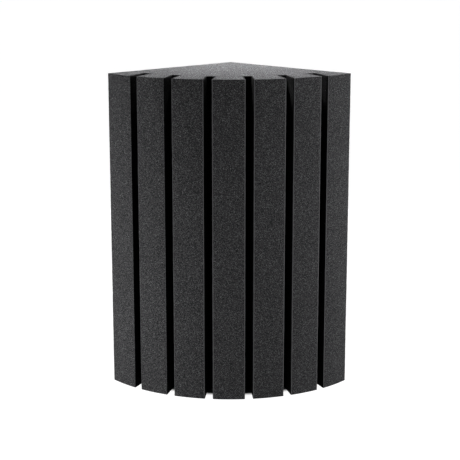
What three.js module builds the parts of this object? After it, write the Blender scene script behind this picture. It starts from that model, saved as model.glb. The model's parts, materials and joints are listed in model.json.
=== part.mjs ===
// Corner bass trap: a tall wedge of charcoal acoustic foam that stands in the corner of a room.
//
// The block is cut from one piece of open-cell foam. Two flat wall faces meet in a right angle at
// the back, and a curved front runs between them. Six full-height slots divide the front into seven
// ribs, all aimed at one line behind the corner, so that the ribs spread like a fan. Each wall face
// carries two strips of double-sided mounting tape, still under their release liners.
//
// Millimetres, +Z up. The origin is at floor level, midway between the corner edge and the crown of
// the front. The curved front looks along -Y, and the corner edge is at +Y.

import * as THREE from 'three';

// Foam block
const blockHeight = 600;
const wallFaceWidth = 320;
const frontRadius = 285;

// Slots in the front
const slotCount = 6;
const slotWidth = 14;
const slotDepth = 56;
const slotAimSetback = 128; // from the corner edge back to the line that all slots are aimed at

// Cut edges of the foam
const arrisRadius = 1; // where a cut face turns into the next
const slotFloorRadius = 1.5; // left by the cutting wire in the slot's corners
const endArrisShare = 0.6; // the top and bottom edges are crisper than the upright ones
const frontStep = 5; // longest flat along the curved front

// Mounting tape and its release liners
const tapeWidth = 50;
const tapeThickness = 1;
const tapeSideInset = 45; // from a strip to the nearest upright edge of its wall face
const tapeEndInset = 30; // from a strip's ends to the top and bottom of the block
const linerThickness = 0.4;
const tabLength = 14; // how far a liner runs past the top of its strip
const tabCornerRadius = 8;
const seatGap = 0.3; // between foam and tape, and between tape and liner

// Places that follow from the sizes. The corner is where the two wall faces would meet if their
// edge weren't rounded, and the origin lies midway between that rounded edge and the crown.
const halfSpan = wallFaceWidth * Math.SQRT1_2;
const arcSetback = Math.sqrt(frontRadius ** 2 - halfSpan ** 2); // arc's centre to the front edges' line
const cornerRounding = arrisRadius * (Math.SQRT2 - 1);
const cornerY = (halfSpan - arcSetback + frontRadius + cornerRounding) / 2;
const arcCentre = new THREE.Vector2(0, cornerY - halfSpan + arcSetback);
const aimPoint = new THREE.Vector2(0, cornerY + slotAimSetback);
const ribCount = slotCount + 1;
const fanAngle = 2 * Math.atan2(halfSpan, halfSpan + slotAimSetback);
const arrisSegments = 2;

// The angle of a point on the front, counted round the arc's centre from straight ahead towards +X
function frontAngle(point) {
  return Math.atan2(point.x - arcCentre.x, arcCentre.y - point.y);
}

function frontPoint(angle) {
  return new THREE.Vector2(Math.sin(angle), -Math.cos(angle)).multiplyScalar(frontRadius).add(arcCentre);
}

// Where a line from start along direction leaves the curved front
function meetFront(start, direction) {
  const fromCentre = start.clone().sub(arcCentre);
  const along = fromCentre.dot(direction);
  const reach = Math.sqrt(along ** 2 - fromCentre.lengthSq() + frontRadius ** 2) - along;
  return start.clone().addScaledVector(direction, reach);
}

// One slot of the fan: its mouth on the curved front and the corners of its flat floor
function slotCorners(index) {
  const slant = fanAngle * ((index + 1) / ribCount - 0.5);
  const outwards = new THREE.Vector2(Math.sin(slant), -Math.cos(slant));
  const sideways = new THREE.Vector2(Math.cos(slant), Math.sin(slant));
  const floorCentre = meetFront(aimPoint, outwards).addScaledVector(outwards, -slotDepth);
  const floor = [-slotWidth / 2, slotWidth / 2].map((offset) =>
    floorCentre.clone().addScaledVector(sideways, offset)
  );
  const mouth = floor.map((corner) => meetFront(corner, outwards));
  return { floor, mouth };
}

// The stretch of curved front between two angles, with its two ends marked as arrises. Its steps are
// even in number, so that the middle rib has a point on the crown.
function ribFace(fromAngle, toAngle) {
  const steps = 2 * Math.ceil((frontRadius * (toAngle - fromAngle)) / frontStep / 2);
  return Array.from({ length: steps + 1 }, (_, i) => ({
    point: frontPoint(fromAngle + ((toAngle - fromAngle) * i) / steps),
    radius: i === 0 || i === steps ? arrisRadius : 0,
  }));
}

// Replaces a corner by a tangent arc of its radius; a corner without one stays as it is
function roundedCorner(before, corner, after) {
  if (corner.radius === 0) return [corner.point];
  const back = before.point.clone().sub(corner.point);
  const ahead = after.point.clone().sub(corner.point);
  const halfAngle = Math.acos(back.normalize().dot(ahead.normalize())) / 2;
  const bisector = back.clone().add(ahead).normalize();
  const centre = corner.point.clone().addScaledVector(bisector, corner.radius / Math.sin(halfAngle));
  const setback = corner.radius / Math.tan(halfAngle);
  const start = corner.point.clone().addScaledVector(back, setback).sub(centre);
  const turn = Math.sign(back.cross(ahead)) * (Math.PI - 2 * halfAngle);
  return Array.from({ length: arrisSegments + 1 }, (_, i) =>
    start.clone().rotateAround(new THREE.Vector2(), (-turn * i) / arrisSegments).add(centre)
  );
}

function roundedShape(corners) {
  const points = corners.flatMap((corner, i) =>
    roundedCorner(corners.at(i - 1), corner, corners[(i + 1) % corners.length])
  );
  return new THREE.Shape(points);
}

// Plan of the block, counter-clockwise from the corner edge
function blockPlan() {
  const edgeAngle = Math.atan2(halfSpan, arcSetback);
  const corners = [{ point: new THREE.Vector2(0, cornerY), radius: arrisRadius }];
  let ribStart = -edgeAngle;
  for (let index = 0; index < slotCount; index += 1) {
    const { floor, mouth } = slotCorners(index);
    corners.push(...ribFace(ribStart, frontAngle(mouth[0])));
    corners.push(...floor.map((point) => ({ point, radius: slotFloorRadius })));
    ribStart = frontAngle(mouth[1]);
  }
  corners.push(...ribFace(ribStart, edgeAngle));
  return roundedShape(corners);
}

function foamBlock(material) {
  const endArris = arrisRadius * endArrisShare;
  const geometry = new THREE.ExtrudeGeometry(blockPlan(), {
    depth: blockHeight - 2 * endArris,
    bevelEnabled: true,
    bevelThickness: endArris,
    bevelSize: endArris,
    bevelOffset: -endArris,
    bevelSegments: arrisSegments,
  });
  geometry.translate(0, 0, endArris);
  const mesh = new THREE.Mesh(geometry, material);
  mesh.name = 'foam_block';
  return mesh;
}

// A strip lies in its own XY plane, with Y up the wall face and +Z away from the foam
function tapeStrip(material) {
  const length = blockHeight - 2 * tapeEndInset;
  const mesh = new THREE.Mesh(new THREE.BoxGeometry(tapeWidth, length, tapeThickness), material);
  mesh.position.set(0, blockHeight / 2, seatGap + tapeThickness / 2);
  return mesh;
}

function releaseLiner(material) {
  const halfWidth = tapeWidth / 2;
  const foot = tapeEndInset;
  const head = blockHeight - tapeEndInset + tabLength;
  const outline = roundedShape([
    { point: new THREE.Vector2(-halfWidth, foot), radius: 0 },
    { point: new THREE.Vector2(halfWidth, foot), radius: 0 },
    { point: new THREE.Vector2(halfWidth, head), radius: tabCornerRadius },
    { point: new THREE.Vector2(-halfWidth, head), radius: tabCornerRadius },
  ]);
  const geometry = new THREE.ExtrudeGeometry(outline, { depth: linerThickness, bevelEnabled: false });
  const mesh = new THREE.Mesh(geometry, material);
  mesh.position.z = seatGap + tapeThickness + seatGap;
  return mesh;
}

// A group whose XY plane lies on one wall face, with Y up and +Z pointing out of the foam. Its X runs
// away from the corner edge on the left face, and towards it on the right face.
function wallFace(turn) {
  const upright = new THREE.Group();
  upright.rotation.x = Math.PI / 2;
  const wall = new THREE.Group();
  wall.position.y = cornerY;
  wall.rotation.z = turn;
  wall.add(upright);
  return { wall, upright };
}

const foam = new THREE.MeshStandardMaterial({ color: 0x3b3b3d, roughness: 0.98, metalness: 0 });
const tape = new THREE.MeshStandardMaterial({ color: 0xd8d6cd, roughness: 0.8, metalness: 0 });
const liner = new THREE.MeshStandardMaterial({ color: 0xe9e2c6, roughness: 0.45, metalness: 0 });

const bassTrap = new THREE.Group();
bassTrap.add(foamBlock(foam));

const wallSides = [
  { side: 'left', turn: (Math.PI * 5) / 4, awayFromCorner: 1 },
  { side: 'right', turn: (Math.PI * 3) / 4, awayFromCorner: -1 },
];
const stripPlaces = [
  { place: 'inner', fromCorner: tapeSideInset + tapeWidth / 2 },
  { place: 'outer', fromCorner: wallFaceWidth - tapeSideInset - tapeWidth / 2 },
];

for (const { side, turn, awayFromCorner } of wallSides) {
  const { wall, upright } = wallFace(turn);
  for (const { place, fromCorner } of stripPlaces) {
    const strip = tapeStrip(tape.clone());
    strip.name = `mounting_tape_${side}_${place}`;
    const cover = releaseLiner(liner.clone());
    cover.name = `release_liner_${side}_${place}`;
    for (const mesh of [strip, cover]) {
      mesh.position.x = awayFromCorner * fromCorner;
      upright.add(mesh);
    }
  }
  bassTrap.add(wall);
}

export default bassTrap;
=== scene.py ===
import json
import math

import bmesh
import bpy
import numpy as np
from mathutils import Matrix, Vector, geometry, noise

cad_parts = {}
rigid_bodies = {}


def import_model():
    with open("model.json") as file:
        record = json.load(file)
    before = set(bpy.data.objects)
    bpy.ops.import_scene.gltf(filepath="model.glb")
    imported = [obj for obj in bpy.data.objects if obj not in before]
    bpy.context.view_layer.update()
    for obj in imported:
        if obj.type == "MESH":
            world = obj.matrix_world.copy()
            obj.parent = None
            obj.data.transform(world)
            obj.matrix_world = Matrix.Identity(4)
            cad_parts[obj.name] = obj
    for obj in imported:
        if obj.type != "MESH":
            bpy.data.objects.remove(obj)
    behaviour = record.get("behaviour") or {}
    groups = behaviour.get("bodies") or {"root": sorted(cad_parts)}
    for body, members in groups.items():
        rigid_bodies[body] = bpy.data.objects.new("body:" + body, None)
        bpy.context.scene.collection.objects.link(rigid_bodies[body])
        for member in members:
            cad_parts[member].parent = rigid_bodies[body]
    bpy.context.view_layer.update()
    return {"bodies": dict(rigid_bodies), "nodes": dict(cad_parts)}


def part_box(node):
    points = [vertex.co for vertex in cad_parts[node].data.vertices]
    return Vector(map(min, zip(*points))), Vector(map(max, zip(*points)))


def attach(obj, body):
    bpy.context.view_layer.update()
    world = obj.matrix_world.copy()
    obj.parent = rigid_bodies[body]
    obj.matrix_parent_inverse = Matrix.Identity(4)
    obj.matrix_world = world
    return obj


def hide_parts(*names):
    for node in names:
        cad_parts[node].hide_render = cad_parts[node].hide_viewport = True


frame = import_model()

# A corner bass trap of charcoal open-cell foam, standing on a pale floor. Metres, +Z up. The
# curved, slotted front looks along -Y and the corner edge is at +Y.

BODY = next(iter(frame["bodies"]))
BLOCK_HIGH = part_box("foam_block")[1]
BLOCK_HEIGHT = BLOCK_HIGH.z
MM = 0.001

# The block's cut
WALL_FACE_WIDTH = 320 * MM
FRONT_RADIUS = 285 * MM
SLOT_COUNT = 6
SLOT_WIDTH = 14.8 * MM
SLOT_DEPTH = 56 * MM
SLOT_AIM_SETBACK = 128 * MM
ARRIS_RADIUS = 1.0 * MM
SLOT_FLOOR_RADIUS = 1.5 * MM
END_ARRIS = 0.6 * MM

# Places that follow from it
HALF_SPAN = WALL_FACE_WIDTH * math.sqrt(0.5)
ARC_SETBACK = math.sqrt(FRONT_RADIUS**2 - HALF_SPAN**2)
CORNER_Y = BLOCK_HIGH.y + ARRIS_RADIUS * (math.sqrt(2) - 1)
ARC_CENTRE = Vector((0, CORNER_Y - HALF_SPAN + ARC_SETBACK))
AIM_POINT = Vector((0, CORNER_Y + SLOT_AIM_SETBACK))
EDGE_ANGLE = math.atan2(HALF_SPAN, ARC_SETBACK)
RIB_COUNT = SLOT_COUNT + 1
FAN_ANGLE = 2 * math.atan2(HALF_SPAN, HALF_SPAN + SLOT_AIM_SETBACK)

# How finely the foam's surface is divided. The inner points' jitter is a share of their step
RIB_STEP = 3.0 * MM
SLOT_STEP = 6.0 * MM
WALL_STEP = 8.0 * MM
HEIGHT_STEP = 3.6 * MM
TOP_STEP = 2.8 * MM
FOOT_STEP = 8.0 * MM
ARRIS_SEGMENTS = 3
INNER_POINT_JITTER = 0.25
POINT_TOLERANCE = 1e-7

# How unevenly the wire left it
CUT_WAVE = 0.18 * MM
CUT_WAVE_LENGTH = 110 * MM
RIPPLE_SHARE = 0.5
RIPPLE_LENGTH = 32 * MM
CUT_GRAIN = 0.12 * MM
ARRIS_LOSS = 0.35 * MM
NICK_LENGTH = 7 * MM
LOSS_SPREAD = 0.4
SURFACE_SEED = 5
SEED_SHIFTS = (7.3, 3.1, 5.7)

# How strongly the arrises are painted lighter, a painted highlight over their real wear, where 1 is
# most: less at the ends, which are worn but get little painted highlight, and least on the left
# ribs
END_WEAR_AND_HIGHLIGHT = 0.3
LEAST_HIGHLIGHT = 0.5
LEAST_HIGHLIT_X = -130 * MM
FULLY_HIGHLIT_X = -20 * MM

# Single open pores, and the one that the photograph shows under the leftmost rib's top edge
PORE_COUNT = 180
PORE_WIDTH = 2.2 * MM
PORE_DEPTH = 1.4 * MM
PORE_WIDTH_SHARES = (0.5, 1.0)
PORE_RIM_SHARES = (0.8, 1.2)
PORE_FLOOR_SHARE = 0.6
PORE_POINTS = 8
PORE_SEED = 8
EDGE_PORE_WIDTH = 3.6 * MM
EDGE_PORE_SHARE = 0.7
EDGE_PORE_DROP = 2.5 * MM


# The plan of the block


def front_angle(point):
    """Angle of a point on the front, round the arc's centre from straight ahead towards +X."""
    return math.atan2(point.x - ARC_CENTRE.x, ARC_CENTRE.y - point.y)


def front_point(angle):
    return ARC_CENTRE + FRONT_RADIUS * Vector((math.sin(angle), -math.cos(angle)))


def meet_front(start, direction):
    """Where a line from start along direction leaves the curved front."""
    out = start - ARC_CENTRE
    along = out.dot(direction)
    reach = math.sqrt(along**2 - out.length_squared + FRONT_RADIUS**2) - along
    return start + direction * reach


def slot_corners(index):
    """The corners of a slot's flat floor and of its mouth, left then right."""
    slant = FAN_ANGLE * ((index + 1) / RIB_COUNT - 0.5)
    outwards = Vector((math.sin(slant), -math.cos(slant)))
    sideways = Vector((math.cos(slant), math.sin(slant)))
    floor_centre = meet_front(AIM_POINT, outwards) - outwards * SLOT_DEPTH
    floor = [floor_centre + sideways * side * SLOT_WIDTH / 2 for side in (-1, 1)]
    return floor, [meet_front(corner, outwards) for corner in floor]


def rib_corners(start, end, step_after):
    """The curved face of one rib as corners: place, radius and step of the stretch after it."""
    steps = 2 * math.ceil(FRONT_RADIUS * (end - start) / RIB_STEP / 2)
    angles = [start + (end - start) * i / steps for i in range(1, steps)]
    first = (front_point(start), ARRIS_RADIUS, RIB_STEP)
    last = (front_point(end), ARRIS_RADIUS, step_after)
    return [first, *[(front_point(angle), 0, RIB_STEP) for angle in angles], last]


def plan_corners():
    """The plan's corners, counter-clockwise from the corner edge at the back."""
    corners = [(Vector((0, CORNER_Y)), ARRIS_RADIUS, WALL_STEP)]
    start = -EDGE_ANGLE
    for index in range(SLOT_COUNT):
        floor, mouth = slot_corners(index)
        corners += rib_corners(start, front_angle(mouth[0]), SLOT_STEP)
        corners += [(corner, SLOT_FLOOR_RADIUS, SLOT_STEP) for corner in floor]
        start = front_angle(mouth[1])
    return corners + rib_corners(start, EDGE_ANGLE, WALL_STEP)


def rounded(before, corner, after, radius):
    """Points of the tangent arc that replaces a corner."""
    if radius == 0:
        return [corner]
    back = (before - corner).normalized()
    ahead = (after - corner).normalized()
    half = math.acos(back.dot(ahead)) / 2
    centre = corner + (back + ahead).normalized() * (radius / math.sin(half))
    start = corner + back * (radius / math.tan(half)) - centre
    turn = math.copysign(math.pi - 2 * half, back.cross(ahead))
    turns = [Matrix.Rotation(-turn * i / ARRIS_SEGMENTS, 2) for i in range(ARRIS_SEGMENTS + 1)]
    return [centre + rotation @ start for rotation in turns]


def block_plan():
    """The plan's points, and for each whether it's on an arris and whether it's inside a slot,
    where shade is painted on the foam.
    """
    corners = plan_corners()
    arcs = []
    for i, (place, radius, _) in enumerate(corners):
        after = corners[(i + 1) % len(corners)][0]
        arcs.append(rounded(corners[i - 1][0], place, after, radius))
    points, arris, painted_shade = [], [], []
    for i, (_, radius, step) in enumerate(corners):
        last, following = arcs[i][-1], arcs[(i + 1) % len(arcs)][0]
        steps = max(1, round((following - last).length / step))
        points += arcs[i] + [last.lerp(following, k / steps) for k in range(1, steps)]
        arris += [float(radius == ARRIS_RADIUS)] * len(arcs[i]) + [0.0] * (steps - 1)
        painted_shade += [float(SLOT_STEP in (step, corners[i - 1][2]))] * len(arcs[i])
        painted_shade += [float(step == SLOT_STEP)] * (steps - 1)
    return np.array([tuple(p) for p in points]), np.array(arris), np.array(painted_shade)


# The foam block's mesh


def plan_normals(points):
    """Which way is out of the block at each point of the plan."""
    along = np.roll(points, -1, 0) - np.roll(points, 1, 0)
    normals = np.stack([along[:, 1], -along[:, 0]], 1)
    return normals / np.linalg.norm(normals, axis=1)[:, None]


def inside(points, outline):
    """Which points lie within the outline, by the crossings of a ray along +X."""
    x, y = points[:, :1], points[:, 1:]
    x0, y0 = outline.T
    x1, y1 = np.roll(outline, -1, 0).T
    rise = np.where(y1 == y0, 1.0, y1 - y0)
    crossed = ((y0 > y) != (y1 > y)) & (x < x0 + (y - y0) * (x1 - x0) / rise)
    return crossed.sum(1) % 2 == 1


def end_face(outline, step, seed):
    """Inner points of an end of the block, and its triangles over outline and inner points."""
    random = np.random.default_rng(seed)
    low, high = outline.min(0), outline.max(0)
    grid = np.stack(np.meshgrid(*[np.arange(a, b, step) for a, b in zip(low, high)]), -1)
    jitter = random.uniform(-INNER_POINT_JITTER, INNER_POINT_JITTER, (grid.size // 2, 2))
    grid = grid.reshape(-1, 2) + jitter * step
    grid = grid[inside(grid, outline)]
    from_edge = np.linalg.norm(grid[:, None] - outline[None], axis=2).min(1)
    grid = grid[from_edge > step / 2]
    places = [Vector(p) for p in np.concatenate([outline, grid])]
    edges = [(i, (i + 1) % len(outline)) for i in range(len(outline))]
    inside_only = 1
    made = geometry.delaunay_2d_cdt(places, edges, [], inside_only, POINT_TOLERANCE)
    triangles, origins = made[2], made[3]
    return grid, [[origins[i][0] for i in triangle] for triangle in triangles]


def levels():
    """Heights of the side's rings of points, and how far each lies inside the plan."""
    quarter = [math.pi / 2 * i / ARRIS_SEGMENTS for i in range(ARRIS_SEGMENTS, -1, -1)]
    foot = [(END_ARRIS * (1 - math.sin(a)), END_ARRIS * (1 - math.cos(a))) for a in quarter]
    span = BLOCK_HEIGHT - 2 * END_ARRIS
    steps = round(span / HEIGHT_STEP)
    side = [(END_ARRIS + span * i / steps, 0.0) for i in range(1, steps)]
    return foot + side + [(BLOCK_HEIGHT - z, inset) for z, inset in reversed(foot)]


def side_faces(count, ring_count):
    """Faces of the block's side, between rings of that many points."""
    ring = np.arange(count)
    after = np.roll(ring, -1)
    faces = []
    for level in range(ring_count - 1):
        low, high = level * count, (level + 1) * count
        faces += np.stack([low + ring, low + after, high + after, high + ring], 1).tolist()
    return faces


def side_marks(points, normals, arris, painted_shade, rings):
    """Marks of the side's points, ring by ring: which arrises are worn and how strongly each gets a
    painted highlight, and what lies in a slot, where shade is painted.
    """
    outwards = points - np.array(ARC_CENTRE)
    outwards /= np.linalg.norm(outwards, axis=1)[:, None]
    facing = (normals * outwards).sum(1).clip(0, 1)
    # The painted highlight is weaker on the left ribs, and it lies on the side of each arris that
    # faces the front
    highlight_share = np.interp(points[:, 0], (LEAST_HIGHLIT_X, FULLY_HIGHLIT_X), (LEAST_HIGHLIGHT, 1.0))
    end_wear_and_highlight = np.array([END_WEAR_AND_HIGHLIGHT * (min(z, BLOCK_HEIGHT - z) < END_ARRIS) for z, _ in rings])
    edge = np.maximum((arris * facing * highlight_share)[None], end_wear_and_highlight[:, None]).reshape(-1)
    # The shade painted in a slot leaves off on the front-facing side of its arrises
    painted_shade = np.where(arris > 0, painted_shade * (1 - facing), painted_shade)
    return edge, np.tile(painted_shade, len(rings))


def block_faces():
    """Points and faces of the block as it was meant to be cut, with marks for the arrises' wear and
    painted highlight, and for the shade painted in the slots.
    """
    points, arris, painted_shade = block_plan()
    count = len(points)
    rings = levels()
    normals = plan_normals(points)
    sides = [np.column_stack([points - normals * inset, np.full(count, z)]) for z, inset in rings]
    edge, painted_shade = side_marks(points, normals, arris, painted_shade, rings)
    places = np.concatenate(sides)
    faces = side_faces(count, len(rings))
    for top in (False, True):
        start = (len(rings) - 1) * count if top else 0
        outline = sides[-1 if top else 0][:, :2]
        inner, triangles = end_face(outline, TOP_STEP if top else FOOT_STEP, seed=int(top))
        inner_start = len(places)
        height = np.full(len(inner), BLOCK_HEIGHT if top else 0.0)
        places = np.concatenate([places, np.column_stack([inner, height])])
        for triangle in triangles:
            face = [start + i if i < count else inner_start + i - count for i in triangle]
            faces.append(face if top else face[::-1])
    unmarked = np.zeros(len(places) - len(edge))
    marks = {"edge": np.append(edge, unmarked), "painted_shade": np.append(painted_shade, unmarked)}
    return places, faces, marks


def field(places, size, seed):
    """Smooth noise over places, in lumps of about that size, from -1 to 1."""
    shift = Vector([seed * step for step in SEED_SHIFTS])
    return np.array([noise.noise(Vector(p) / size + shift) for p in places])


def roughened(mesh, edge):
    """The mesh's points, moved by the wire's wander, the cells' grain and what the arrises lost."""
    places, normals = np.empty(len(mesh.vertices) * 3), np.empty(len(mesh.vertices) * 3)
    mesh.vertices.foreach_get("co", places)
    mesh.vertices.foreach_get("normal", normals)
    places, normals = places.reshape(-1, 3), normals.reshape(-1, 3)
    random = np.random.default_rng(SURFACE_SEED)
    move = random.uniform(-CUT_GRAIN, CUT_GRAIN, len(places))
    ripple = RIPPLE_SHARE * field(places, RIPPLE_LENGTH, seed=2)
    move += CUT_WAVE * (field(places, CUT_WAVE_LENGTH, seed=1) + ripple)
    worn = np.flatnonzero(edge)
    nicks = field(places[worn], NICK_LENGTH, seed=3).clip(0, None)
    move[worn] -= ARRIS_LOSS * (nicks + random.uniform(0, LOSS_SPREAD, len(worn)))
    moved = places + normals * move[:, None]
    on_floor = places[:, 2] < END_ARRIS / 2
    moved[on_floor, 2] = places[on_floor, 2]
    moved[:, 2] = moved[:, 2].clip(0, BLOCK_HEIGHT + CUT_WAVE)
    return moved


def sunk_pore(corners, width, random):
    """Points of a pore in a four-sided face: four of its rim, then four of its smaller floor."""
    centre = corners.mean(0)
    inwards = np.cross(corners[3] - corners[0], corners[1] - corners[0])
    inwards /= np.linalg.norm(inwards)
    out = corners - centre
    out /= np.linalg.norm(out, axis=1)[:, None]
    rim = centre + out * width / 2 * random.uniform(*PORE_RIM_SHARES, (4, 1))
    depth = PORE_DEPTH * width / PORE_WIDTH
    floor = centre + (rim - centre) * PORE_FLOOR_SHARE + inwards * depth
    return np.concatenate([rim, floor])


def edge_pore_place():
    """Where the photograph shows one open pore, just under the top edge of the leftmost rib."""
    rib_end = front_angle(slot_corners(0)[1][0])
    spot = front_point(-EDGE_ANGLE + (rib_end + EDGE_ANGLE) * EDGE_PORE_SHARE)
    return np.array([*spot, BLOCK_HEIGHT - EDGE_PORE_DROP])


def pore_faces(places, faces, random):
    """The faces that get a pore, each with the pore's width, and first the one near the edge."""
    quads = np.array([i for i, face in enumerate(faces) if len(face) == 4])
    corners = places[np.array([faces[i] for i in quads])]
    shortest = np.linalg.norm(corners - np.roll(corners, -1, 1), axis=2).min(1)
    nearest = quads[np.linalg.norm(corners.mean(1) - edge_pore_place(), axis=1).argmin()]
    wide_enough = quads[(shortest > PORE_WIDTH) & (quads != nearest)]
    chosen = random.choice(wide_enough, PORE_COUNT, replace=False)
    widths = PORE_WIDTH * random.uniform(*PORE_WIDTH_SHARES, PORE_COUNT)
    return [(nearest, EDGE_PORE_WIDTH), *zip(chosen, widths)]


def faces_between(outer, inner):
    """Faces from four points to the four inside them."""
    return [[outer[k - 1], outer[k], inner[k], inner[k - 1]] for k in range(4)]


def open_pores(places, faces):
    """Sinks a pore into single faces here and there.

    Returns the flat-shaded faces' indices too, and a mark on the pores' points: the one near the
    edge gets the same painted shade as the slots.
    """
    random = np.random.default_rng(PORE_SEED)
    pores, flat, dark = [], [], []
    for i, width in pore_faces(places, faces, random):
        start = len(places) + len(pores) * PORE_POINTS
        rim = list(range(start, start + 4))
        floor = list(range(start + 4, start + PORE_POINTS))
        pores.append(sunk_pore(places[faces[i]], width, random))
        dark += [float(width == EDGE_PORE_WIDTH)] * PORE_POINTS
        faces += faces_between(faces[i], rim)
        flat += [int(i), *range(len(faces), len(faces) + 4)]
        faces += faces_between(rim, floor)
        faces[i] = floor
    return np.concatenate([places, *pores]), faces, flat, dark


def foam_mesh():
    """The block's mesh with its marks, shaded smooth but for the pores."""
    places, faces, marks = block_faces()
    smooth = bpy.data.meshes.new("foam_smooth")
    smooth.from_pydata(places.tolist(), [], faces)
    places, faces, flat, dark = open_pores(roughened(smooth, marks["edge"]), faces)
    bpy.data.meshes.remove(smooth)
    mesh = bpy.data.meshes.new("foam")
    mesh.from_pydata(places.tolist(), [], faces)
    shading = np.ones(len(faces), bool)
    shading[flat] = False
    mesh.polygons.foreach_set("use_smooth", shading)
    # The marks carry the arrises' wear and painted highlight, and the painted shade in the slots
    # and in the one dark pore
    for name, in_pores in (("edge", [0.0] * len(dark)), ("painted_shade", dark)):
        attribute = mesh.attributes.new(name, "FLOAT", "POINT")
        attribute.data.foreach_set("value", np.append(marks[name], in_pores))
    return mesh


def make_foam():
    mesh = foam_mesh()
    mesh.materials.append(foam_material())
    foam = bpy.data.objects.new("foam_block_cut", mesh)
    bpy.context.scene.collection.objects.link(foam)
    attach(foam, BODY)
    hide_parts("foam_block")
    return foam


# Tape and release liners on the wall faces

STRIP_STEP = 5 * MM
SHARP_TURN = math.radians(40)

# The tape's waves, and how it thins out along its edges
TAPE_WAVE = 0.12 * MM
TAPE_WAVE_LENGTH = 25 * MM
TAPE_WAVES_ACROSS = 2
TAPE_EDGE_DROP = 0.15 * MM
TAPE_EDGE_SHARE = 0.15

# The liner's ripples, and how its finger tab lifts beyond the tape
LINER_WAVE = 0.35 * MM
LINER_WAVE_LENGTH = 60 * MM
LINER_WAVES_ACROSS = 0.8
LINER_LOOSENESS = 0.4
LINER_SEED_SHIFT = 9
TAB_CORNER = 8 * MM
TAB_CORNER_STEPS = 6
TAB_LIFT = 2.6 * MM
TAB_CURL = 1.6
TAB_SLANT = 0.35


class Strip:
    """A flat strip on a wall face: across it, up it and out of the foam, from its node's mesh."""

    def __init__(self, node, side):
        low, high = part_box(node)
        self.across = Vector((side, -1, 0)).normalized()
        self.out = Vector((side, 1, 0)).normalized()
        vertices = [v.co for v in frame["nodes"][node].data.vertices]
        spans = [[p.dot(axis) for p in vertices] for axis in (self.across, self.out)]
        self.left, self.right = min(spans[0]), max(spans[0])
        self.inner, self.outer = min(spans[1]), max(spans[1])
        self.foot, self.head = low.z, high.z

    def place(self, across, up, out):
        return self.across * across + Vector((0, 0, up)) + self.out * out


def strip_heights(strip, corner):
    """Heights of a strip's rows of points, closer together where its head is rounded."""
    shoulder = strip.head - corner
    rows = round((shoulder - strip.foot) / STRIP_STEP)
    heights = [strip.foot + (shoulder - strip.foot) * j / rows for j in range(rows + 1)]
    turns = [math.pi / 2 * k / TAB_CORNER_STEPS for k in range(1, TAB_CORNER_STEPS + 1)]
    return heights + [shoulder + corner * math.sin(turn) for turn in turns if corner > 0]


def sheet_points(strip, heights, half_width_at, lift_at):
    """Points of a thin sheet's inner face, then of its outer face, row by row.

    half_width_at trims a row. lift_at gives how far its outer face bulges, and how far both rise.
    """
    middle, half = (strip.left + strip.right) / 2, (strip.right - strip.left) / 2
    columns = round(2 * half / STRIP_STEP)
    inner, outer = [], []
    for up in heights:
        for i in range(columns + 1):
            share = 2 * i / columns - 1
            across = middle + share * half_width_at(half, up)
            bulge, rise = lift_at(share, up)
            inner.append(strip.place(across, up, strip.inner + min(bulge, 0) + rise))
            outer.append(strip.place(across, up, strip.outer + bulge + rise))
    return inner + outer, columns


def sheet_faces(rows, columns):
    """Faces of a closed sheet over two grids of rows by columns of squares."""
    stride = columns + 1
    count = stride * (rows + 1)
    starts = [j * stride + i for j in range(rows) for i in range(columns)]
    squares = [[i, i + 1, i + 1 + stride, i + stride] for i in starts]
    rim = list(range(stride))
    rim += [j * stride + columns for j in range(1, rows + 1)]
    rim += [rows * stride + i for i in range(columns - 1, -1, -1)]
    rim += [j * stride for j in range(rows - 1, 0, -1)]
    inner = [square[::-1] for square in squares]
    outer = [[i + count for i in square] for square in squares]
    return inner + outer + [[a, b, b + count, a + count] for a, b in zip(rim[-1:] + rim, rim)]


def sheet(name, points, faces):
    """A smooth mesh whose edges are sharp where it turns steeply."""
    mesh = bpy.data.meshes.new(name)
    mesh.from_pydata([tuple(point) for point in points], [], faces)
    work = bmesh.new()
    work.from_mesh(mesh)
    bmesh.ops.recalc_face_normals(work, faces=work.faces)
    for face in work.faces:
        face.smooth = True
    for edge in work.edges:
        edge.smooth = edge.calc_face_angle(0) < SHARP_TURN
    work.to_mesh(mesh)
    work.free()
    return mesh


def add_strip(node, mesh, material):
    piece = bpy.data.objects.new(node + "_sheet", mesh)
    bpy.context.scene.collection.objects.link(piece)
    mesh.materials.append(material)
    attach(piece, BODY)
    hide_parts(node)


def make_tape(node, side, material, seed):
    """A strip of tape that waves a little and thins out along its edges."""
    strip = Strip(node, side)

    def lift(share, up):
        wave = noise.noise(Vector((share * TAPE_WAVES_ACROSS + seed, up / TAPE_WAVE_LENGTH, seed)))
        into_edge = max(0.0, abs(share) - (1 - TAPE_EDGE_SHARE)) / TAPE_EDGE_SHARE
        return (TAPE_WAVE * wave - TAPE_EDGE_DROP * into_edge, 0.0)

    heights = strip_heights(strip, 0)
    points, columns = sheet_points(strip, heights, lambda half, up: half, lift)
    add_strip(node, sheet(node, points, sheet_faces(len(heights) - 1, columns)), material)


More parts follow.
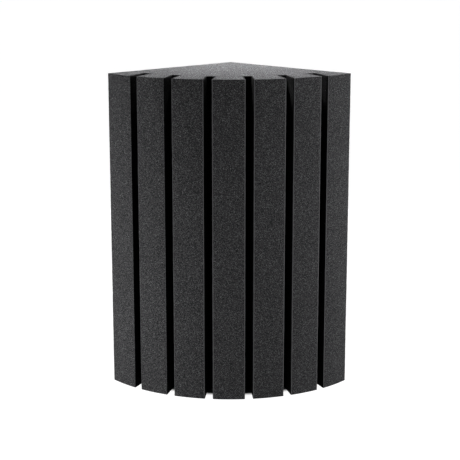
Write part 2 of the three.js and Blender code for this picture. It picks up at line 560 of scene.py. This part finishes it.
def make_liner(node, side, material, seed, tape_head):
    """A liner that ripples over its tape, with a rounded finger tab that lifts beyond it."""
    strip = Strip(node, side)

    def half_width(half, up):
        into_corner = max(0.0, up - (strip.head - TAB_CORNER))
        return half - TAB_CORNER + math.sqrt(max(0.0, TAB_CORNER**2 - into_corner**2))

    def lift(share, up):
        across = share * LINER_WAVES_ACROSS + seed * LINER_SEED_SHIFT
        ripple = noise.noise(Vector((across, up / LINER_WAVE_LENGTH, seed))) + LINER_LOOSENESS
        beyond = max(0.0, up - tape_head) / (strip.head - tape_head)
        slant = 1 + TAB_SLANT * share * (1 if seed % 2 else -1)
        return (0.0, LINER_WAVE * max(0.0, ripple) + TAB_LIFT * beyond**TAB_CURL * slant)

    heights = strip_heights(strip, TAB_CORNER)
    points, columns = sheet_points(strip, heights, half_width, lift)
    add_strip(node, sheet(node, points, sheet_faces(len(heights) - 1, columns)), material)


def make_strips():
    tape, liner = tape_material(), liner_material()
    strips = [("left_inner", -1), ("left_outer", -1), ("right_inner", 1), ("right_outer", 1)]
    for seed, (place, side) in enumerate(strips, 1):
        tape_node = "mounting_tape_" + place
        make_tape(tape_node, side, tape, seed)
        tape_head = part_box(tape_node)[1].z
        make_liner("release_liner_" + place, side, liner, seed, tape_head)


# Materials

# Where noise mostly lies, from its lowest to its highest
NOISE_SPAN = (0.3, 0.7)

# The foam. Tones multiply its colour: a cell's pore has a tone between PORE_TONES, which PORE_POWER
# makes a dark one mostly. STRUT_REACH is how far from the border of two cells a strut is whole, and
# how far off the pore has taken over. A pair of marks is where the mesh's mark starts to show, and
# where it shows in full
FOAM_COLOUR = (0.045, 0.045, 0.0465, 1)
CELL = 0.8 * MM
FINE_CELL = 0.6 * MM
PORE_TONES = (0.05, 5.6)
PORE_POWER = 3.8
STRUT_REACH = (0.02, 0.22)
STRUT_TONE = 0.9
LUMP = 7 * MM
LUMP_TONES = (0.98, 1.02)
LUMP_RISE = 0.3 * MM
MOTTLE = 45 * MM
MOTTLE_TONES = (0.95, 1.05)
# The arrises are painted lighter, a painted highlight for the light that their frayed struts catch
ARRIS_HIGHLIGHT_MARKS = (0.25, 0.95)
ARRIS_HIGHLIGHT_TONE = 2.8
ARRIS_HIGHLIGHT_SHARE = 0.85
# The slots' walls are painted darker, a painted shade for the light that hardly gets into them
SLOT_SHADE_MARKS = (0.15, 0.6)
SLOT_SHADE_TONE = 0.13
FOAM_ROUGHNESS = 1.0
FOAM_SPECULAR = 0.02
FOAM_BUMP = 0.8
FOAM_RELIEF = 1.0

# The tape's carrier
TAPE_COLOUR = (0.68, 0.67, 0.62, 1)
TAPE_FIBRE = 0.9 * MM
TAPE_TONES = (0.9, 1.08)
TAPE_ROUGHNESS = 0.75
TAPE_BUMP = 0.4
TAPE_RELIEF = 0.2 * MM

# The liner's paper
LINER_COLOUR = (0.81, 0.76, 0.57, 1)
LINER_FIBRE = 1.4 * MM
LINER_CLOUD = 14 * MM
LINER_TONES = (0.96, 1.03)
LINER_ROUGHNESS = (0.36, 0.5)
LINER_BUMP = 0.25
LINER_RELIEF = 0.08 * MM


class Nodes:
    """A node tree, with short calls that add nodes and link them."""

    def __init__(self, owner):
        owner.use_nodes = True
        self.tree = owner.node_tree
        self.tree.nodes.clear()

    def add(self, kind, inputs=None, **settings):
        node = self.tree.nodes.new(kind)
        for name, value in settings.items():
            setattr(node, name, value)
        for name, value in (inputs or {}).items():
            if isinstance(value, bpy.types.NodeSocket):
                self.tree.links.new(value, node.inputs[name])
            else:
                node.inputs[name].default_value = value
        return node

    def math(self, operation, a, b):
        return self.add("ShaderNodeMath", {0: a, 1: b}, operation=operation).outputs[0]

    def spread(self, value, low, high, to_low, to_high):
        """Maps low to high onto to_low to to_high."""
        limits = {"From Min": low, "From Max": high, "To Min": to_low, "To Max": to_high}
        return self.add("ShaderNodeMapRange", {"Value": value, **limits}).outputs["Result"]

    def mixed(self, factor, a, b):
        """a where the factor is 0 and b where it's 1."""
        return self.add("ShaderNodeMix", {"Factor": factor, "A": a, "B": b}).outputs[0]

    def mark(self, name):
        """A mark that the mesh carries on its points."""
        return self.add("ShaderNodeAttribute", attribute_name=name).outputs["Fac"]

    def place(self):
        return self.add("ShaderNodeTexCoord").outputs["Object"]

    def noise(self, place, size, detail):
        inputs = {"Vector": place, "Scale": 1 / size, "Detail": detail}
        return self.add("ShaderNodeTexNoise", inputs).outputs[0]

    def cells(self, place, size):
        """A cell pattern: its random colour split in three, and the distance from cell centres."""
        cells = self.add("ShaderNodeTexVoronoi", {"Vector": place, "Scale": 1 / size})
        split = self.add("ShaderNodeSeparateColor", {"Color": cells.outputs["Color"]})
        return split.outputs, cells.outputs["Distance"]

    def to_cell_edge(self, place, size):
        """Distance to the nearest border between the same cells, in cells."""
        inputs = {"Vector": place, "Scale": 1 / size}
        border = self.add("ShaderNodeTexVoronoi", inputs, feature="DISTANCE_TO_EDGE")
        return border.outputs["Distance"]

    def tinted(self, colour, tone):
        """The colour times a grey tone. A mix of colours takes them by its sockets 6 and 7."""
        grey = self.add("ShaderNodeCombineColor", {"Red": tone, "Green": tone, "Blue": tone})
        inputs = {0: 1.0, 6: colour, 7: grey.outputs[0]}
        mix = self.add("ShaderNodeMix", inputs, data_type="RGBA", blend_type="MULTIPLY")
        return mix.outputs[2]

    def bump(self, height, strength, depth):
        inputs = {"Height": height, "Strength": strength, "Distance": depth}
        return self.add("ShaderNodeBump", inputs).outputs[0]

    def surface(self, shader):
        output = self.add("ShaderNodeOutputMaterial")
        self.tree.links.new(shader, output.inputs["Surface"])


def cell_tone(nodes, place, random):
    """Tone of the foam's cells, from one random value for each: a pore between lighter struts."""
    pore = nodes.spread(nodes.math("POWER", random, PORE_POWER), 0, 1, *PORE_TONES)
    in_pore = nodes.spread(nodes.to_cell_edge(place, CELL), *STRUT_REACH, 0, 1)
    return nodes.mixed(in_pore, STRUT_TONE, pore)


def uneven_tone(nodes, tone, lumps, place):
    """The tone, a little uneven from lump to lump and over the whole block."""
    mottle = nodes.noise(place, MOTTLE, detail=3)
    tone = nodes.math("MULTIPLY", tone, nodes.spread(lumps, *NOISE_SPAN, *LUMP_TONES))
    return nodes.math("MULTIPLY", tone, nodes.spread(mottle, *NOISE_SPAN, *MOTTLE_TONES))


def marked_tone(nodes, tone):
    """The tone with painted light: a painted highlight on the arrises, and painted shade in the
    slots and in the one dark pore.
    """
    arris_highlight = nodes.spread(nodes.mark("edge"), *ARRIS_HIGHLIGHT_MARKS, 0, ARRIS_HIGHLIGHT_SHARE)
    # Painted shade: darker where the mesh marks a slot or the one dark pore
    slot_shade = nodes.spread(nodes.mark("painted_shade"), *SLOT_SHADE_MARKS, 1, SLOT_SHADE_TONE)
    return nodes.math("MULTIPLY", nodes.mixed(arris_highlight, tone, ARRIS_HIGHLIGHT_TONE), slot_shade)


def foam_height(nodes, place, bowl, lumps):
    """Height of the foam's surface in metres: cells of two sizes, and lumps under them."""
    fine = nodes.math("MULTIPLY", nodes.cells(place, FINE_CELL)[1], FINE_CELL)
    height = nodes.math("ADD", nodes.math("MULTIPLY", bowl, CELL), fine)
    return nodes.math("ADD", height, nodes.math("MULTIPLY", lumps, LUMP_RISE))


def foam_material():
    material = bpy.data.materials.new("charcoal_foam")
    nodes = Nodes(material)
    place = nodes.place()
    random, bowl = nodes.cells(place, CELL)
    lumps = nodes.noise(place, LUMP, detail=2)
    tone = cell_tone(nodes, place, random[0])
    tone = marked_tone(nodes, uneven_tone(nodes, tone, lumps, place))
    inputs = {
        "Base Color": nodes.tinted(FOAM_COLOUR, tone),
        "Roughness": FOAM_ROUGHNESS,
        "Specular IOR Level": FOAM_SPECULAR,
        "Normal": nodes.bump(foam_height(nodes, place, bowl, lumps), FOAM_BUMP, FOAM_RELIEF),
    }
    nodes.surface(nodes.add("ShaderNodeBsdfPrincipled", inputs).outputs[0])
    return material


def tape_material():
    material = bpy.data.materials.new("tape_carrier")
    nodes = Nodes(material)
    place = nodes.place()
    tone = nodes.spread(nodes.noise(place, TAPE_FIBRE, detail=3), *NOISE_SPAN, *TAPE_TONES)
    inputs = {
        "Base Color": nodes.tinted(TAPE_COLOUR, tone),
        "Roughness": TAPE_ROUGHNESS,
        "Normal": nodes.bump(tone, TAPE_BUMP, TAPE_RELIEF),
    }
    nodes.surface(nodes.add("ShaderNodeBsdfPrincipled", inputs).outputs[0])
    return material


def liner_material():
    material = bpy.data.materials.new("liner_paper")
    nodes = Nodes(material)
    place = nodes.place()
    fibres = nodes.noise(place, LINER_FIBRE, detail=4)
    clouds = nodes.noise(place, LINER_CLOUD, detail=3)
    tone = nodes.math(
        "MULTIPLY",
        nodes.spread(fibres, *NOISE_SPAN, *LINER_TONES),
        nodes.spread(clouds, *NOISE_SPAN, *LINER_TONES),
    )
    inputs = {
        "Base Color": nodes.tinted(LINER_COLOUR, tone),
        "Roughness": nodes.spread(clouds, *NOISE_SPAN, *LINER_ROUGHNESS),
        "Normal": nodes.bump(fibres, LINER_BUMP, LINER_RELIEF),
    }
    nodes.surface(nodes.add("ShaderNodeBsdfPrincipled", inputs).outputs[0])
    return material


# Floor, light and camera

# The floor's glow is white in the open and darkened deep in the slots as painted shade. Behind the
# curved front it stays white for the first of the two reaches below, and from the second on only
# its openness counts
FLOOR_SIZE = 60.0
FLOOR_COLOUR = (0.18, 0.18, 0.18, 1)
FLOOR_SHADE_REACH = 80 * MM
FLOOR_OPENNESS = (0.25, 0.42)
SLOT_FLOOR_UNSHADED = 20 * MM
SLOT_FLOOR_FULL_SHADE = 34 * MM
WORLD_LIGHT = 0.03

# The photograph's camera, fitted to the block's edges with the picture's centre on its axis
CAMERA_PLACE = (22.8 * MM, -2479.8 * MM, 846.1 * MM)
CAMERA_YAW, CAMERA_PITCH, CAMERA_ROLL = -0.00893, 0.22125, -0.00031
FOCAL_PIXELS, PICTURE_PIXELS = 1300, 460


def seen_directly(nodes):
    """1 for what the camera sees, mirrored or through things too, and 0 for light that falls."""
    path = nodes.add("ShaderNodeLightPath").outputs
    either = nodes.math("MAXIMUM", path["Is Camera Ray"], path["Is Glossy Ray"])
    return nodes.math("MAXIMUM", either, path["Is Transmission Ray"])


def in_the_open(nodes):
    """Share of the floor's glow by its openness: 1 on the open floor, 0 deep inside the block's
    slots, where the glow is darkened as painted shade.
    """
    openness = nodes.add("ShaderNodeAmbientOcclusion", {"Distance": FLOOR_SHADE_REACH}, samples=8)
    return nodes.spread(openness.outputs["AO"], *FLOOR_OPENNESS, 0, 1)


def near_slot_mouths(nodes):
    """Share of the floor's glow by its distance behind the front: 1 from just behind the curved
    front outwards, falling to 0 deeper between the ribs, where shade is painted.
    """
    inputs = {0: nodes.place(), 1: (*ARC_CENTRE, 0)}
    radius = nodes.add("ShaderNodeVectorMath", inputs, operation="DISTANCE").outputs["Value"]
    return nodes.spread(radius, FRONT_RADIUS - SLOT_FLOOR_FULL_SHADE, FRONT_RADIUS - SLOT_FLOOR_UNSHADED, 0, 1)


def floor_material():
    """A matt floor with a glow that is seen, directly or in a reflection, but lights nothing,
    darkened deep in the slots as painted shade.
    """
    material = bpy.data.materials.new("pale_floor")
    nodes = Nodes(material)
    matt = nodes.add("ShaderNodeBsdfDiffuse", {"Color": FLOOR_COLOUR})
    # The glow is kept in the open and near the slots' mouths, and darkened deeper in the slots as
    # painted shade
    lit = nodes.math("MAXIMUM", in_the_open(nodes), near_slot_mouths(nodes))
    glow_strength = nodes.math("MULTIPLY", seen_directly(nodes), lit)
    glow = nodes.add("ShaderNodeEmission", {"Strength": glow_strength})
    both = nodes.add("ShaderNodeAddShader", {0: matt.outputs[0], 1: glow.outputs[0]})
    nodes.surface(both.outputs[0])
    return material


def make_floor():
    half = FLOOR_SIZE / 2
    corners = [(-half, -half, 0), (half, -half, 0), (half, half, 0), (-half, half, 0)]
    mesh = bpy.data.meshes.new("floor")
    mesh.from_pydata(corners, [], [(0, 1, 2, 3)])
    mesh.materials.append(floor_material())
    floor = bpy.data.objects.new("floor", mesh)
    bpy.context.scene.collection.objects.link(floor)


def make_world():
    """White where it's seen, and a faint even light otherwise."""
    world = bpy.data.worlds.new("studio")
    nodes = Nodes(world)
    strength = nodes.spread(seen_directly(nodes), 0, 1, WORLD_LIGHT, 1)
    back = nodes.add("ShaderNodeBackground", {"Color": (1, 1, 1, 1), "Strength": strength})
    output = nodes.add("ShaderNodeOutputWorld")
    nodes.tree.links.new(back.outputs[0], output.inputs["Surface"])
    bpy.context.scene.world = world


def softbox(name, azimuth, distance, height, size, power, aim):
    """A soft area lamp. Azimuth counts in degrees from straight ahead of the front towards +X."""
    turn = math.radians(azimuth)
    place = Vector((math.sin(turn) * distance, -math.cos(turn) * distance, height))
    light = bpy.data.lights.new(name, "AREA")
    light.shape = "RECTANGLE"
    light.size, light.size_y = size
    light.energy = power
    lamp = bpy.data.objects.new(name, light)
    lamp.location = place
    lamp.rotation_mode = "QUATERNION"
    lamp.rotation_quaternion = (Vector(aim) - place).to_track_quat("-Z", "Y")
    lamp.visible_camera = False
    bpy.context.scene.collection.objects.link(lamp)
    return lamp


def light_only(lamp, piece):
    """Keeps a lamp's light off everything but one piece."""
    lit = bpy.data.collections.new(lamp.name + "_lights")
    lit.objects.link(piece)
    lamp.light_linking.receiver_collection = lit


def make_lights(foam):
    """Lamps by name, azimuth, distance, height, size, power and the point that they face."""
    softbox("left_softbox", -50, 1.0, 0.1, (0.4, 0.3), 9.8, (0, 0, 0.2))
    softbox("left_side_softbox", -105, 1.0, 0.6, (0.5, 0.4), 6.3, (0, 0, 0.5))
    softbox("right_softbox", 78, 1.4, 0.45, (0.8, 0.8), 22.8, (0, 0, 0.3))
    softbox("back_softbox", 180, 1.6, 0.3, (1.2, 0.8), 5.5, (0, 0, 0.3))

    # Close above the foam, so it would burn out the pale liners just below
    top = softbox("top_softbox", 185, 0.297, 1.1, (0.03, 0.14), 25, (0.24, 0, 0.6))
    light_only(top, foam)


def make_camera():
    data = bpy.data.cameras.new("camera")
    data.lens = data.sensor_width * FOCAL_PIXELS / PICTURE_PIXELS
    camera = bpy.data.objects.new("camera", data)
    camera.location = CAMERA_PLACE
    turn = Matrix.Rotation(-CAMERA_YAW, 3, "Z")
    tilt = Matrix.Rotation(math.pi / 2 - CAMERA_PITCH, 3, "X")
    roll = Matrix.Rotation(CAMERA_ROLL, 3, "Z")
    camera.rotation_mode = "QUATERNION"
    camera.rotation_quaternion = (turn @ tilt @ roll).to_quaternion()
    bpy.context.scene.collection.objects.link(camera)
    bpy.context.scene.camera = camera


make_camera()
make_world()
make_floor()
make_lights(make_foam())
make_strips()
bpy.context.scene.view_settings.view_transform = "Standard"
